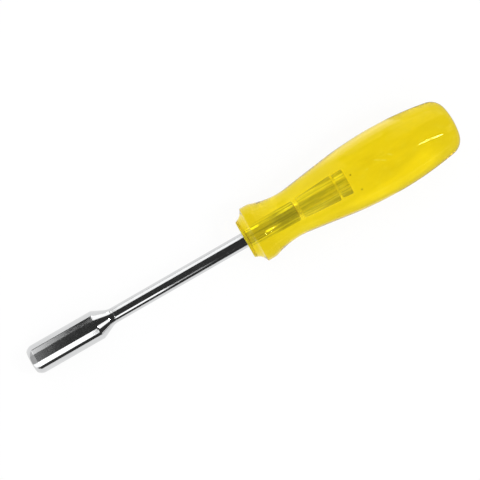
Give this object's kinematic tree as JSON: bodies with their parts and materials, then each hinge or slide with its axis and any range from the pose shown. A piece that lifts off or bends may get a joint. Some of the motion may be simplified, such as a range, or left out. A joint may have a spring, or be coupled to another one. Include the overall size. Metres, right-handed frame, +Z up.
{
  "type": "six-lobe socket driver",
  "caption": "Hand driver with a clear moulded handle, a plain round shank and a socket head whose mouth is a female six-lobe recess for external six-lobe screw heads.",
  "frame": {"origin": "on the floor under the middle of the lying tool's length, below its axis", "axes": "+X along the tool's axis from the socket's mouth to the handle's tail, +Z up; the axis is stored level, at the height where the handle's belly meets the floor"},
  "size_m": [0.2424, 0.0352, 0.0351],
  "materials": {
    "handle_acetate": "gloss",
    "shank_chrome": "polished",
    "socket_chrome": "polished"
  },
  "bodies": {
    "root": {"handle": "handle_acetate", "shank": "shank_chrome", "socket": "socket_chrome"}
  },
  "joints": []
}
